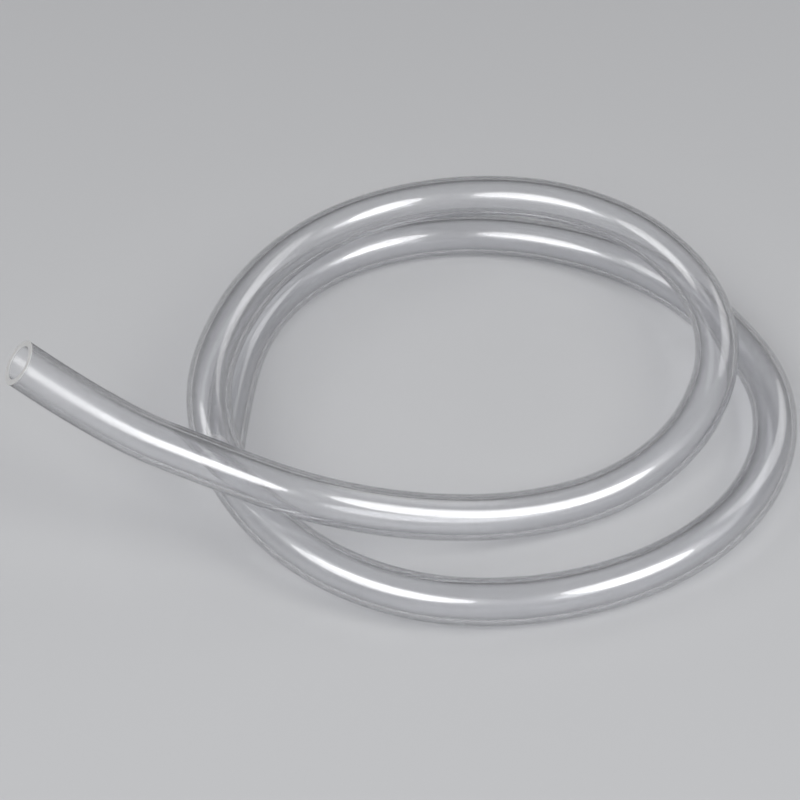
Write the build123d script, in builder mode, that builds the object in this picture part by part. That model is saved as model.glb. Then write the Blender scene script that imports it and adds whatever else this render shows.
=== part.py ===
from build123d import *
import math
import os

# Clear PVC siphon hose lying in two loose turns, with one cut end standing out over them.
# Millimetres. Z is up and z = 0 is the surface that the hose lies on.
# The hose is one extruded tube. It is made here as five stretches that meet face to face.

os.makedirs("parts", exist_ok=True)

# ---------------------------------------------------------------- section
outside_diameter = 12.7
bore_diameter = 9.5

# ---------------------------------------------------------------- ends
# Each end is straight for at least as far as a barb is pushed in. The open end is cut by
# hand, at a slant that turns its mouth up and to the front. The cut is turned from square
# by the slant, about a line that leans across the hose.
open_grip = 15.8
tucked_grip = 16.0
open_slant = 32.0
slant_line = Axis((0, 0, 0), (52, 42, 74))

# ---------------------------------------------------------------- route
# Corners of the centre line, from the open end to the end that is tucked in. x and y are
# in mm. The third value is how far the hose lies above the surface, in hose diameters:
# 0 is on the surface, and a little over 1 is on top of another turn. The first and last
# corners say which way the hose ends, and the grips say how far out it is cut.
tail_corners = [
    (-107, -37, 3.35),
    (-83, -48, 2.44),
    (-56, -57, 1.94),
    (-29, -64, 1.39),
    (-1, -61, 0.67),
]
upper_corners = [
    (28, -53, 0.13),
    (56, -41, 0.05),
    (78, -19, 0.27),
    (89, 9, 0.73),
    (86, 40, 0.96),
    (69, 66, 1.19),
    (42, 82, 1.26),
    (10, 85, 1.18),
    (-20, 74, 1.13),
    (-43, 50, 1.15),
    (-56, 18, 1.22),
    (-61, -16, 1.16),
    (-53, -46, 0.83),
    (-33, -70, 0.33),
]
lower_corners = [
    (-4, -84, 0.06),
    (29, -85, 0.00),
    (61, -74, 0.00),
    (86, -53, 0.00),
    (101, -25, 0.00),
    (104, 6, 0.04),
    (94, 35, 0.00),
    (77, 61, 0.00),
    (50, 79, 0.00),
    (19, 86, 0.00),
    (-12, 79, 0.03),
    (-36, 61, 0.02),
    (-50, 35, 0.00),
    (-55, 4, 0.00),
    (-56, -25, 0.00),
]
route = [
    Vector(x, y, outside_diameter * (0.5 + lift))
    for x, y, lift in tail_corners + upper_corners + lower_corners
]

# Each bend takes this share of the shorter run beside it, so its arc is as large as fits.
bend_share = 0.45


def cut_end(corner, aim, grip):
    """Where the hose is cut, so that its grip is straight beyond the bend at the corner."""
    return corner + (aim - corner).normalized() * grip / (1 - bend_share)


route[0] = cut_end(route[1], route[0], open_grip)
route[-1] = cut_end(route[-2], route[-1], tucked_grip)
runs = [b - a for a, b in zip(route, route[1:])]
turns = [a.get_angle(b) for a, b in zip(runs, runs[1:])]
bends = [
    bend_share * min(a.length, b.length) / math.tan(math.radians(turn) / 2)
    for a, b, turn in zip(runs, runs[1:], turns)
]

# ---------------------------------------------------------------- seams
# The hose stays whole from its straight cut end through the first bend beside it, so both
# end stretches have one corner. Every seam is halfway along the run after a corner.
last_open = 1
last_tail = len(tail_corners) - 1
last_upper = last_tail + len(upper_corners)
last_lower = len(route) - 3


def halfway(corner):
    """Middle of the run that leaves a corner."""
    return route[corner] + runs[corner] * 0.5


open_seam = halfway(last_open)
tail_seam = halfway(last_tail)
turn_seam = halfway(last_upper)
tucked_seam = halfway(last_lower)

with BuildSketch() as wall:
    Circle(outside_diameter / 2)
    Circle(bore_diameter / 2, mode=Mode.SUBTRACT)

# ---------------------------------------------------------------- open end
# It is made a little long, and the slanted cut through its mouth takes off the rest.
open_out = -runs[0].normalized()
open_stock = route[0] + open_out * outside_diameter / 2
mouth_face = Plane(route[0], z_dir=open_out.rotate(slant_line, open_slant))
with BuildPart() as open_end:
    with BuildLine():
        FilletPolyline(open_stock, route[last_open], open_seam, radius=bends[:last_open])
    with BuildSketch(Plane(open_stock, z_dir=runs[0])):
        add(wall.sketch)
    sweep()
    split(bisect_by=mouth_face, keep=Keep.BOTTOM)
open_end.part.label = "open_end"
export_step(open_end.part, "parts/open_end.step")

# ---------------------------------------------------------------- tail
with BuildPart() as tail:
    with BuildLine():
        FilletPolyline(
            open_seam,
            *route[last_open + 1 : last_tail + 1],
            tail_seam,
            radius=bends[last_open:last_tail],
        )
    with BuildSketch(Plane(open_seam, z_dir=runs[last_open])):
        add(wall.sketch)
    sweep()
tail.part.label = "tail"
export_step(tail.part, "parts/tail.step")

# ---------------------------------------------------------------- upper turn
with BuildPart() as upper_turn:
    with BuildLine():
        FilletPolyline(
            tail_seam,
            *route[last_tail + 1 : last_upper + 1],
            turn_seam,
            radius=bends[last_tail:last_upper],
        )
    with BuildSketch(Plane(tail_seam, z_dir=runs[last_tail])):
        add(wall.sketch)
    sweep()
upper_turn.part.label = "upper_turn"
export_step(upper_turn.part, "parts/upper_turn.step")

# ---------------------------------------------------------------- lower turn
with BuildPart() as lower_turn:
    with BuildLine():
        FilletPolyline(
            turn_seam,
            *route[last_upper + 1 : last_lower + 1],
            tucked_seam,
            radius=bends[last_upper:last_lower],
        )
    with BuildSketch(Plane(turn_seam, z_dir=runs[last_upper])):
        add(wall.sketch)
    sweep()
lower_turn.part.label = "lower_turn"
export_step(lower_turn.part, "parts/lower_turn.step")

# ---------------------------------------------------------------- tucked end
# It is cut square and lies on the surface, under the upper turn.
with BuildPart() as tucked_end:
    with BuildLine():
        FilletPolyline(tucked_seam, *route[last_lower + 1 :], radius=bends[last_lower:])
    with BuildSketch(Plane(tucked_seam, z_dir=runs[last_lower])):
        add(wall.sketch)
    sweep()
tucked_end.part.label = "tucked_end"
export_step(tucked_end.part, "parts/tucked_end.step")

# ---------------------------------------------------------------- lengths and bends
arcs = [r * math.radians(turn) for r, turn in zip(bends, turns)]
corners_cut = [2 * r * math.tan(math.radians(turn) / 2) for r, turn in zip(bends, turns)]
hose_length = sum(run.length for run in runs) + sum(arcs) - sum(corners_cut)
section = math.pi * (outside_diameter**2 - bore_diameter**2) / 4
volume = sum(s.part.volume for s in (open_end, tail, upper_turn, lower_turn, tucked_end))
print("hose length", round(hose_length, 1), "mm")
print("bend radii", [round(r, 1) for r in bends])
print("volume", round(volume), "section x length", round(section * hose_length))
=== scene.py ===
import math

import bpy
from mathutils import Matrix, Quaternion, Vector


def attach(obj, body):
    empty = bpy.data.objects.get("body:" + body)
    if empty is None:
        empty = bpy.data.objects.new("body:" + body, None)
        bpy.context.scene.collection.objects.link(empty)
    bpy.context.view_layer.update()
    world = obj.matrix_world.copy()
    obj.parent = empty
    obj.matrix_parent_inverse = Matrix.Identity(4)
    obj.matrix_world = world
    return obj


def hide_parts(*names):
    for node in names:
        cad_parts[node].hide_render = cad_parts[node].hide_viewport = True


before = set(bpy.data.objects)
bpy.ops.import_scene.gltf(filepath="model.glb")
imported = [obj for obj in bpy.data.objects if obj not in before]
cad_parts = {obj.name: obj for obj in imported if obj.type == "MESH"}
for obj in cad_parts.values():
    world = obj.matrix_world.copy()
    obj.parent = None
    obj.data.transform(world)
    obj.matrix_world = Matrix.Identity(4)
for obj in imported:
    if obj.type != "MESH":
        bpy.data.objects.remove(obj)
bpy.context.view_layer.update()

# Clear PVC siphon hose lying in two loose turns. Metres, Z up, the surface at z = 0.

# ---------------------------------------------------------------- hose
outside_diameter = 0.0127
bore_diameter = 0.0095

# The open end is cut at a slant: turned from square by this much, about this line.
open_slant = math.radians(32)
slant_line = Vector((52, 42, 74)).normalized()

# Corners of the centre line, as in the part's source. The third value is how far the hose
# lies above the surface, in hose diameters.
tail_corners = [
    (-0.107, -0.037, 3.35),
    (-0.083, -0.048, 2.44),
    (-0.056, -0.057, 1.94),
    (-0.029, -0.064, 1.39),
    (-0.001, -0.061, 0.67),
]
upper_corners = [
    (0.028, -0.053, 0.13),
    (0.056, -0.041, 0.05),
    (0.078, -0.019, 0.27),
    (0.089, 0.009, 0.73),
    (0.086, 0.040, 0.96),
    (0.069, 0.066, 1.19),
    (0.042, 0.082, 1.26),
    (0.010, 0.085, 1.18),
    (-0.020, 0.074, 1.13),
    (-0.043, 0.050, 1.15),
    (-0.056, 0.018, 1.22),
    (-0.061, -0.016, 1.16),
    (-0.053, -0.046, 0.83),
    (-0.033, -0.070, 0.33),
]
lower_corners = [
    (-0.004, -0.084, 0.06),
    (0.029, -0.085, 0.00),
    (0.061, -0.074, 0.00),
    (0.086, -0.053, 0.00),
    (0.101, -0.025, 0.00),
    (0.104, 0.006, 0.04),
    (0.094, 0.035, 0.00),
    (0.077, 0.061, 0.00),
    (0.050, 0.079, 0.00),
    (0.019, 0.086, 0.00),
    (-0.012, 0.079, 0.03),
    (-0.036, 0.061, 0.02),
    (-0.050, 0.035, 0.00),
    (-0.055, 0.004, 0.00),
    (-0.056, -0.025, 0.00),
]
route = [
    Vector((x, y, outside_diameter * (0.5 + lift)))
    for x, y, lift in tail_corners + upper_corners + lower_corners
]

# ---------------------------------------------------------------- mesh
# The hose is rings of points, so many round each and so many for each corner of the route.
steps_per_corner = 15
sides = 96

# Both edges of a cut end are rounded. The even wall starts a little way in from the cut.
edge_round = 0.00016
edge_steps = 3
wall_start = 0.0004

# The rings along the hose stay clear of both cuts, and one cut slants across the hose.
tucked_clear = 2 * wall_start
open_clear = outside_diameter / 2 * math.tan(open_slant) + 2 * wall_start

# Material slots
clear_slot = 0
cut_slot = 1


def hose_line():
    """Points along the smooth centre line, read from a NURBS spline through the route."""
    curve = bpy.data.curves.new("hose_line", "CURVE")
    curve.dimensions = "3D"
    spline = curve.splines.new("NURBS")
    spline.points.add(len(route) - 1)
    for point, corner in zip(spline.points, route):
        point.co = (*corner, 1)
    spline.order_u = 3
    spline.use_endpoint_u = True
    spline.resolution_u = steps_per_corner
    holder = bpy.data.objects.new("hose_line", curve)
    bpy.context.scene.collection.objects.link(holder)
    bpy.context.view_layer.update()
    read = bpy.data.meshes.new_from_object(holder)
    line = [v.co.copy() for v in read.vertices]
    bpy.data.objects.remove(holder)
    return line


def frames_along(line):
    """For each point of the line: its place, its direction, and two directions across."""
    found = []
    across = None
    for i, place in enumerate(line):
        along = (line[min(i + 1, len(line) - 1)] - line[max(i - 1, 0)]).normalized()
        if across is None:
            across = along.cross(Vector((0, 0, 1))).normalized()
        across = (across - along * across.dot(along)).normalized()
        found.append((place, along, across, along.cross(across)))
    return found


def ring(frame_here, radius, cut=None, back=0.0):
    """Points round the hose at one place.

    With a cut, which is given by its direction, they slide along the hose to its plane,
    and then this far back from it.
    """
    place, along, across, up = frame_here
    points = []
    for side in range(sides):
        turn = 2 * math.pi * side / sides
        point = place + (across * math.cos(turn) + up * math.sin(turn)) * radius
        if cut is not None:
            to_cut = (point - place).dot(cut) / along.dot(cut)
            point = point - along * to_cut + along * back
        points.append(point)
    return points


def cut_end(frame_here, cut, into):
    """Rings over a cut end, from the outside wall to the bore, with its two edges rounded.

    into is 1 where the line of the hose starts at the cut, and -1 where it ends there.
    """
    outer = outside_diameter / 2
    inner = bore_diameter / 2
    turns = [math.pi / 2 * step / edge_steps for step in range(edge_steps + 1)]
    rounding = [(edge_round * (1 - math.cos(t)), edge_round * (1 - math.sin(t))) for t in turns]
    over = [(outer, wall_start)]
    over += [(outer - across, back) for across, back in rounding]
    over += [(inner + across, back) for across, back in reversed(rounding)]
    over += [(inner, wall_start)]
    return [ring(frame_here, radius, cut, into * back) for radius, back in over]


def hose_rings(line):
    """Every ring of the closed tube, each with the material slot of what follows it.

    They run down the outside wall, over the tucked end, back through the bore and over the
    open end.
    """
    frames = frames_along(line)
    start, end = frames[0], frames[-1]
    open_cut = -start[1]
    open_cut.rotate(Quaternion(slant_line, open_slant))
    middle = [
        f for f in frames
        if (f[0] - start[0]).length > open_clear and (f[0] - end[0]).length > tucked_clear
    ]
    tucked_face = cut_end(end, end[1], -1)
    open_face = cut_end(start, open_cut, 1)
    rings = [(open_face[0], clear_slot)]
    rings += [(ring(f, outside_diameter / 2), clear_slot) for f in middle]
    rings += [(tucked_face[0], clear_slot)]
    rings += [(points, cut_slot) for points in tucked_face[1:-2]]
    rings += [(points, clear_slot) for points in tucked_face[-2:]]
    rings += [(ring(f, bore_diameter / 2), clear_slot) for f in reversed(middle)]
    rings += [(open_face[-1], clear_slot)]
    rings += [(points, cut_slot) for points in reversed(open_face[2:-1])]
    rings += [(open_face[1], clear_slot)]
    return rings


def hose_mesh(line):
    """The closed tube: faces from each ring to the next, and from the last to the first."""
    rings = hose_rings(line)
    points = [p for points_here, _ in rings for p in points_here]
    faces = []
    slots = []
    for i, (_, slot) in enumerate(rings):
        after = (i + 1) % len(rings)
        for side in range(sides):
            turned = (side + 1) % sides
            faces.append((
                i * sides + side,
                i * sides + turned,
                after * sides + turned,
                after * sides + side,
            ))
            slots.append(slot)
    mesh = bpy.data.meshes.new("hose")
    mesh.from_pydata(points, [], faces)
    mesh.polygons.foreach_set("material_index", slots)
    mesh.polygons.foreach_set("use_smooth", [True] * len(faces))
    lay_out(mesh, rings)
    return mesh


def lay_out(mesh, rings):
    """UV map: round the hose in U, and how far it is from the open end in V, in diameters."""
    far = [0.0]
    for (before, _), (after, _) in zip(rings, rings[1:] + rings[:1]):
        far.append(far[-1] + sum((q - p).length for p, q in zip(before, after)) / sides)
    from_mouth = [min(f, far[-1] - f) / outside_diameter for f in far]
    uv = mesh.uv_layers.new(name="along").data
    for face in mesh.polygons:
        here, side = divmod(face.index, sides)
        low, high = from_mouth[here], from_mouth[here + 1]
        left, right = side / sides, (side + 1) / sides
        corners = [(left, low), (right, low), (right, high), (left, high)]
        for loop, place in zip(face.loop_indices, corners):
            uv[loop].uv = place


# ---------------------------------------------------------------- materials
vinyl_ior = 1.53
coat_ior = 1.55

# Light that goes through the vinyl is absorbed with depth.
smoke_colour = (0.80, 0.803, 0.815, 1)
smoke_density = 220

# The outside and the bore, where the vinyl is clear. The gloss grows between these two
# distances from the open end, in hose diameters.
dull_to = 1.2
glossy_from = 4.6
dull_roughness = 0.26
glossy_roughness = (0.03, 0.07)
coat_roughness = 0.24
clear_transmission = 0.96

# Long fine lines that the die leaves: how many round the hose, and how many to a diameter.
lines_round = 60
lines_along = 0.12
line_depth = 0.0002
line_strength = 0.01

# The cut faces, with the marks of the knife.
cut_colour = (0.97, 0.968, 0.955, 1)
cut_roughness = (0.3, 0.5)
cut_transmission = 0.40
mark_scale = 1800
mark_depth = 0.0001
mark_strength = 0.3

# Where the surface counts as the middle of the hose and where as its rim, by how far it is
# turned away: 0 is square on and 1 is edge on.
# The first span is for painted shade: the clear vinyl's base colour is painted darker towards its
# outline.
rim_shade_span = (0.36, 0.85)
lamp_span = (0.35, 0.95)

# Noise stays near the middle of its range, so this part of it is spread out.
noise_span = (0.3, 0.7)


def new_material(name):
    """A new material, with its nodes, its links, its shader and its output."""
    material = bpy.data.materials.new(name)
    material.use_nodes = True
    nodes, links = material.node_tree.nodes, material.node_tree.links
    return material, nodes, links, nodes["Principled BSDF"], nodes["Material Output"]


def middle_to_rim(nodes, links, span, middle, rim):
    """A colour that goes from middle to rim where the surface turns away."""
    turned = nodes.new("ShaderNodeLayerWeight")
    turned.inputs["Blend"].default_value = 0.5
    shade = nodes.new("ShaderNodeValToRGB")
    for element, position, colour in zip(shade.color_ramp.elements, span, (middle, rim)):
        element.position = position
        element.color = (*colour, 1)
    links.new(turned.outputs["Facing"], shade.inputs["Fac"])
    return shade.outputs["Color"]


def let_lamps_through(nodes, links, shader, output, middle, rim):
    """Lamps shine through: well at the middle of the hose, less where its wall turns away."""
    lamp_light = nodes.new("ShaderNodeBsdfTransparent")
    path = nodes.new("ShaderNodeLightPath")
    mix = nodes.new("ShaderNodeMixShader")
    links.new(middle_to_rim(nodes, links, lamp_span, middle, rim), lamp_light.inputs["Color"])
    links.new(path.outputs["Is Shadow Ray"], mix.inputs["Fac"])
    links.new(shader.outputs["BSDF"], mix.inputs[1])
    links.new(lamp_light.outputs["BSDF"], mix.inputs[2])
    links.new(mix.outputs["Shader"], output.inputs["Surface"])


def noise_along(nodes, links, round_scale, along_scale, detail):
    """Noise drawn out along the hose: round_scale cells round it, along_scale to a diameter."""
    uv = nodes.new("ShaderNodeUVMap")
    uv.uv_map = "along"
    stretch = nodes.new("ShaderNodeMapping")
    stretch.inputs["Scale"].default_value = (round_scale, along_scale, 1)
    noise = nodes.new("ShaderNodeTexNoise")
    noise.inputs["Scale"].default_value = 1
    noise.inputs["Detail"].default_value = detail
    links.new(uv.outputs["UV"], stretch.inputs["Vector"])
    links.new(stretch.outputs["Vector"], noise.inputs["Vector"])
    return noise.outputs["Fac"]


def between(nodes, links, noise, low, high):
    """Noise spread out from low to high."""
    spread = nodes.new("ShaderNodeMapRange")
    spread.inputs["From Min"].default_value = noise_span[0]
    spread.inputs["From Max"].default_value = noise_span[1]
    spread.inputs["To Min"].default_value = low
    spread.inputs["To Max"].default_value = high
    links.new(noise, spread.inputs["Value"])
    return spread.outputs["Result"]


def raised(nodes, links, shader, height, strength, distance):
    """Bumps on the surface, as high as the height says."""
    bump = nodes.new("ShaderNodeBump")
    bump.inputs["Strength"].default_value = strength
    bump.inputs["Distance"].default_value = distance
    links.new(height, bump.inputs["Height"])
    links.new(bump.outputs["Normal"], shader.inputs["Normal"])


def shine_past_the_mouth(nodes, links):
    """0 to 1: the outside is dull from handling at the open end, and glossy further along."""
    uv = nodes.new("ShaderNodeUVMap")
    uv.uv_map = "along"
    split = nodes.new("ShaderNodeSeparateXYZ")
    grow = nodes.new("ShaderNodeMapRange")
    grow.interpolation_type = "SMOOTHSTEP"
    grow.inputs["From Min"].default_value = dull_to
    grow.inputs["From Max"].default_value = glossy_from
    links.new(uv.outputs["UV"], split.inputs["Vector"])
    links.new(split.outputs["Y"], grow.inputs["Value"])
    return grow.outputs["Result"]


def mixed(nodes, links, share, low, high):
    """A number that goes from low to the value high as the share goes from 0 to 1."""
    mix = nodes.new("ShaderNodeMix")
    mix.inputs[2].default_value = low
    links.new(share, mix.inputs[0])
    links.new(high, mix.inputs[3])
    return mix.outputs[0]


def smoke(nodes, links, output):
    """A faint grey that deepens with the thickness of vinyl that is looked through."""
    depth = nodes.new("ShaderNodeVolumeAbsorption")
    depth.inputs["Color"].default_value = smoke_colour
    depth.inputs["Density"].default_value = smoke_density
    links.new(depth.outputs["Volume"], output.inputs["Volume"])


def clear_pvc():
    """Soft clear vinyl: it bends light, is faintly smoky, and keeps its die's long fine lines.

    Its base colour is painted darker towards the hose's outline, as painted shade where the wall
    turns edge on.
    """
    material, nodes, links, shader, output = new_material("clear_pvc")
    shader.inputs["Transmission Weight"].default_value = clear_transmission
    shader.inputs["IOR"].default_value = vinyl_ior
    shader.inputs["Coat IOR"].default_value = coat_ior
    shader.inputs["Coat Roughness"].default_value = coat_roughness
    shine = shine_past_the_mouth(nodes, links)
    links.new(shine, shader.inputs["Coat Weight"])
    lines = noise_along(nodes, links, lines_round, lines_along, 2)
    fine = between(nodes, links, lines, *glossy_roughness)
    links.new(mixed(nodes, links, shine, dull_roughness, fine), shader.inputs["Roughness"])
    raised(nodes, links, shader, lines, line_strength, line_depth)
    # Painted shade: the base colour goes from near white at the middle to dark grey at the
    # outline, as the surface turns away.
    painted_rim_shade = middle_to_rim(nodes, links, rim_shade_span, (0.965, 0.967, 0.975), (0.20, 0.202, 0.212))
    links.new(painted_rim_shade, shader.inputs["Base Color"])
    smoke(nodes, links, output)
    let_lamps_through(nodes, links, shader, output, (0.92, 0.92, 0.925), (0.30, 0.30, 0.32))
    return material


def cut_face():
    """The same vinyl where a knife went through it: matt and milky, with fine marks."""
    material, nodes, links, shader, output = new_material("clear_pvc_cut")
    shader.inputs["Base Color"].default_value = cut_colour
    shader.inputs["Transmission Weight"].default_value = cut_transmission
    shader.inputs["IOR"].default_value = vinyl_ior
    place = nodes.new("ShaderNodeTexCoord")
    marks = nodes.new("ShaderNodeTexNoise")
    marks.inputs["Scale"].default_value = mark_scale
    marks.inputs["Detail"].default_value = 2
    links.new(place.outputs["Object"], marks.inputs["Vector"])
    rough = between(nodes, links, marks.outputs["Fac"], *cut_roughness)
    links.new(rough, shader.inputs["Roughness"])
    raised(nodes, links, shader, marks.outputs["Fac"], mark_strength, mark_depth)
    smoke(nodes, links, output)
    let_lamps_through(nodes, links, shader, output, (0.75, 0.75, 0.76), (0.5, 0.5, 0.52))
    return material


# ---------------------------------------------------------------- the hose
line = hose_line()
hose = bpy.data.objects.new("siphon_hose", hose_mesh(line))
bpy.context.scene.collection.objects.link(hose)
hose.data.materials.append(clear_pvc())
hose.data.materials.append(cut_face())
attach(hose, "root")
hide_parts("open_end", "tail", "upper_turn", "lower_turn", "tucked_end")

# ---------------------------------------------------------------- stage
floor_colour = (0.56, 0.565, 0.575, 1)
floor_roughness = 0.9
floor_specular = 0.1
floor_half = 4.0

# The surroundings go from one colour to the other between two heights: 0 is level and 1 is
# straight up.
horizon = (0.50, 0.505, 0.515, 1)
overhead = (0.13, 0.13, 0.137, 1)
sky_span = (0.10, 0.26)

# The floor fades into the horizon between these distances from its middle.
fade_from = 0.35
fade_to = 1.0

# Each lamp's azimuth, elevation, width and height in degrees as seen from the hose, with
# azimuth 0 towards the camera, and its light on the surface in watts to the square metre.
lamp_distance = 1.4
lamps = {
    "softbox_left": (-27, 43, 46, 34, 0.98),
    "softbox_right": (58, 43, 34, 34, 0.92),
    "softbox_back_left": (-103, 43, 46, 30, 0.5),
    "softbox_back_right": (134, 37, 30, 30, 0.18),
}

# The camera looks along +Y and down at the hose.
camera_target = Vector((-0.0055, 0.0075, 0))
camera_elevation = math.radians(39)
camera_distance = 0.635
camera_lens = 96.4
camera_sensor = 36


def worked_out(nodes, links, operation, a, b):
    """One number worked out from two."""
    node = nodes.new("ShaderNodeMath")
    node.operation = operation
    links.new(a, node.inputs[0])
    links.new(b, node.inputs[1])
    return node.outputs["Value"]


def fade_to_horizon(nodes, links, shader, output):
    """Far from the hose the floor is seen as the colour of the horizon, and gives no light."""
    place = nodes.new("ShaderNodeTexCoord")
    far = nodes.new("ShaderNodeVectorMath")
    far.operation = "LENGTH"
    fade = nodes.new("ShaderNodeMapRange")
    fade.interpolation_type = "SMOOTHSTEP"
    fade.inputs["From Min"].default_value = fade_from
    fade.inputs["From Max"].default_value = fade_to
    links.new(place.outputs["Object"], far.inputs[0])
    links.new(far.outputs["Value"], fade.inputs["Value"])
    path = nodes.new("ShaderNodeLightPath").outputs
    glass = worked_out(nodes, links, "MAXIMUM", path["Is Glossy Ray"], path["Is Transmission Ray"])
    seen = worked_out(nodes, links, "MAXIMUM", path["Is Camera Ray"], glass)
    plain = nodes.new("ShaderNodeEmission")
    plain.inputs["Color"].default_value = horizon
    mix = nodes.new("ShaderNodeMixShader")
    share = worked_out(nodes, links, "MULTIPLY", fade.outputs["Result"], seen)
    links.new(share, mix.inputs["Fac"])
    links.new(shader.outputs["BSDF"], mix.inputs[1])
    links.new(plain.outputs["Emission"], mix.inputs[2])
    links.new(mix.outputs["Shader"], output.inputs["Surface"])


def floor():
    """A plain pale floor that takes the hose's shadow."""
    material, nodes, links, shader, output = new_material("floor")
    fade_to_horizon(nodes, links, shader, output)
    shader.inputs["Base Color"].default_value = floor_colour
    shader.inputs["Roughness"].default_value = floor_roughness
    shader.inputs["Specular IOR Level"].default_value = floor_specular
    near, far = -floor_half, floor_half
    mesh = bpy.data.meshes.new("floor")
    mesh.from_pydata(
        [(near, near, 0), (far, near, 0), (far, far, 0), (near, far, 0)],
        [],
        [(0, 1, 2, 3)],
    )
    mesh.materials.append(material)
    piece = bpy.data.objects.new("floor", mesh)
    bpy.context.scene.collection.objects.link(piece)


def softbox(name, azimuth, elevation, wide, tall, light):
    """An oval lamp that faces the hose."""
    lamp = bpy.data.lights.new(name, "AREA")
    lamp.shape = "ELLIPSE"
    lamp.size = 2 * lamp_distance * math.tan(math.radians(wide / 2))
    lamp.size_y = 2 * lamp_distance * math.tan(math.radians(tall / 2))
    lamp.energy = light * math.pi * lamp_distance ** 2 / math.sin(math.radians(elevation))
    piece = bpy.data.objects.new(name, lamp)
    across = math.radians(azimuth)
    high = math.radians(elevation)
    away = Vector((
        math.sin(across) * math.cos(high),
        -math.cos(across) * math.cos(high),
        math.sin(high),
    ))
    piece.location = away * lamp_distance
    piece.rotation_euler = away.to_track_quat("Z", "Y").to_euler()
    bpy.context.scene.collection.objects.link(piece)


def surroundings():
    """Pale towards the horizon and darker overhead, so that clear edges read."""
    world = bpy.data.worlds.new("world")
    bpy.context.scene.world = world
    world.use_nodes = True
    nodes, links = world.node_tree.nodes, world.node_tree.links
    background = nodes["Background"]
    place = nodes.new("ShaderNodeTexCoord")
    split = nodes.new("ShaderNodeSeparateXYZ")
    sky = nodes.new("ShaderNodeValToRGB")
    for element, position, colour in zip(sky.color_ramp.elements, sky_span, (horizon, overhead)):
        element.position = position
        element.color = colour
    links.new(place.outputs["Generated"], split.inputs["Vector"])
    links.new(split.outputs["Z"], sky.inputs["Fac"])
    links.new(sky.outputs["Color"], background.inputs["Color"])


def camera():
    """Stands in front of the hose, above it."""
    data = bpy.data.cameras.new("camera")
    data.lens = camera_lens
    data.sensor_width = camera_sensor
    piece = bpy.data.objects.new("camera", data)
    away = Vector((0, -math.cos(camera_elevation), math.sin(camera_elevation)))
    piece.location = camera_target + away * camera_distance
    piece.rotation_euler = (math.pi / 2 - camera_elevation, 0, 0)
    bpy.context.scene.collection.objects.link(piece)
    bpy.context.scene.camera = piece


camera()
floor()
surroundings()
for name, lamp in lamps.items():
    softbox(name, *lamp)
bpy.context.scene.view_settings.view_transform = "Standard"
